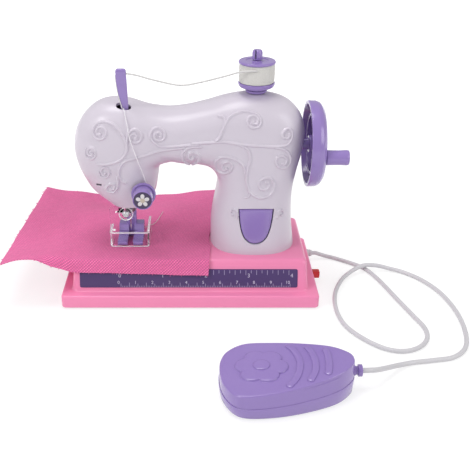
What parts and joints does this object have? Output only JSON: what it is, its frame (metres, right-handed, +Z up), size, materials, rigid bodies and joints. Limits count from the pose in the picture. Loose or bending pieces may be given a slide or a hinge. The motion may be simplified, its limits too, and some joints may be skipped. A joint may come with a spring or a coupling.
{
  "type": "toy sewing machine",
  "caption": "Toy sewing machine on a box base with a ruler, hand wheel with crank, spool, take-up lever, clear finger guard, drawer and a corded foot pedal; cloth under the foot.",
  "frame": {"origin": "on the table, under the middle of the base", "axes": "+X towards the hand wheel, +Y away from the needle side, +Z up"},
  "size_m": [0.2676, 0.2171, 0.1435],
  "materials": {
    "pink_plastic": "satin moulded",
    "white_plastic": "satin moulded with raised scrolls",
    "purple_plastic": "satin moulded",
    "ruler_print": "printed strip",
    "steel": "plain",
    "black_plastic": "moulded",
    "red_plastic": "moulded",
    "clear_plastic": "clear moulded",
    "rubber": "moulded",
    "cell_wrap": "wrapped",
    "thread": "spun",
    "cloth": "plain weave",
    "cord_sheath": "extruded"
  },
  "bodies": {
    "machine": {"base_shell": "pink_plastic", "base_plate": "pink_plastic", "battery_door": "pink_plastic", "front_shell": "white_plastic", "rear_shell": "white_plastic", "dial_seat": "purple_plastic", "spool_pin": "purple_plastic", "pedal_base": "purple_plastic", "pedal_gland": "purple_plastic", "ruler_strip": "ruler_print", "base_screws": "steel", "battery_contacts": "steel", "needle_plate": "steel", "body_screws": "steel", "motor": "steel", "presser_spring": "steel", "guard_screw": "steel", "pedal_pin": "steel", "switch_box": "black_plastic", "gear_frame": "black_plastic", "gear_cover": "black_plastic", "arm_frame": "black_plastic", "lower_bearings": "black_plastic", "pedal_switch": "black_plastic", "finger_guard": "clear_plastic", "rubber_feet": "rubber", "drive_belt": "rubber", "pedal_feet": "rubber", "batteries": "cell_wrap", "upper_thread": "thread", "head_thread": "thread", "cloth": "cloth", "cord": "cord_sheath", "cord_gland": "cord_sheath"},
    "wheel": {"hand_wheel": "purple_plastic", "main_shaft": "steel", "main_gear": "white_plastic", "upper_pulley": "white_plastic", "crank_disc": "steel"},
    "handle": {"crank_handle": "purple_plastic"},
    "idler": {"idler_gear": "white_plastic"},
    "pinion": {"motor_pinion": "steel"},
    "lower": {"lower_shaft": "steel", "looper": "steel"},
    "feed": {"feed_dog": "steel"},
    "needle_set": {"needle_yoke": "white_plastic", "needle_bar": "steel", "needle_clamp": "steel", "needle": "steel", "take_up_lever": "purple_plastic"},
    "presser": {"presser_bar": "steel", "presser_foot": "purple_plastic"},
    "lifter": {"presser_lifter": "purple_plastic"},
    "dial": {"tension_dial": "purple_plastic"},
    "reel": {"spool": "purple_plastic", "thread_winding": "thread"},
    "drawer_box": {"drawer": "purple_plastic"},
    "switch_knob": {"power_switch": "red_plastic"},
    "tread": {"pedal_tread": "purple_plastic"}
  },
  "joints": [
    {"name": "wheel_spin", "type": "hinge", "parent": "machine", "child": "wheel", "pos_m": [0.0725, 0.003, 0.0884], "axis": [1, 0, 0], "continuous": true},
    {"name": "handle_spin", "type": "hinge", "parent": "wheel", "child": "handle", "pos_m": [0.083, -0.01383, 0.08603], "axis": [1, 0, 0], "continuous": true},
    {"name": "idler_spin", "type": "hinge", "parent": "machine", "child": "idler", "pos_m": [0.0525, -0.002, 0.07153], "axis": [1, 0, 0], "continuous": true},
    {"name": "pinion_spin", "type": "hinge", "parent": "machine", "child": "pinion", "pos_m": [0.0505, 0.0135, 0.06505], "axis": [1, 0, 0], "continuous": true},
    {"name": "lower_spin", "type": "hinge", "parent": "machine", "child": "lower", "pos_m": [-0.01, 0.003, 0.014], "axis": [1, 0, 0], "continuous": true},
    {"name": "feed_slide", "type": "slide", "parent": "machine", "child": "feed", "axis": [0, 1, 0], "range_m": [-0.0015, 0.0015]},
    {"name": "needle_slide", "type": "slide", "parent": "machine", "child": "needle_set", "axis": [0, 0, 1], "range_m": [-0.014, 0]},
    {"name": "lifter_turn", "type": "hinge", "parent": "machine", "child": "lifter", "pos_m": [-0.042, 0.02, 0.0795], "axis": [0, 1, 0], "range_deg": [0, 90]},
    {"name": "presser_slide", "type": "slide", "parent": "machine", "child": "presser", "axis": [0, 0, 1], "range_m": [0, 0.004], "deforming": ["presser_spring"]},
    {"name": "dial_turn", "type": "hinge", "parent": "machine", "child": "dial", "pos_m": [-0.02709, -0.019, 0.0639], "axis": [0, -1, 0], "range_deg": [-150, 150]},
    {"name": "spool_spin", "type": "hinge", "parent": "machine", "child": "reel", "pos_m": [0.0376, 0.003, 0.13], "axis": [0, 0, 1], "continuous": true},
    {"name": "drawer_slide", "type": "slide", "parent": "machine", "child": "drawer_box", "axis": [0, -1, 0], "range_m": [0, 0.022]},
    {"name": "switch_slide", "type": "slide", "parent": "machine", "child": "switch_knob", "axis": [0, 1, 0], "range_m": [0, 0.004]},
    {"name": "pedal_press", "type": "hinge", "parent": "machine", "child": "tread", "pos_m": [0.0726, -0.1144, 0.009], "axis": [0, -1, 0], "range_deg": [0, 1.4], "stiffness_Nm_per_rad": 0.05, "springref_deg": -11.46}
  ],
  "couplings": [
    {"joint": "idler_spin", "follows": "wheel_spin", "ratio": -2.6667},
    {"joint": "pinion_spin", "follows": "wheel_spin", "ratio": 6.6667},
    {"joint": "lower_spin", "follows": "wheel_spin", "ratio": 1},
    {"joint": "lifter_turn", "follows": "presser_slide", "rad_per_m": 392.69}
  ]
}
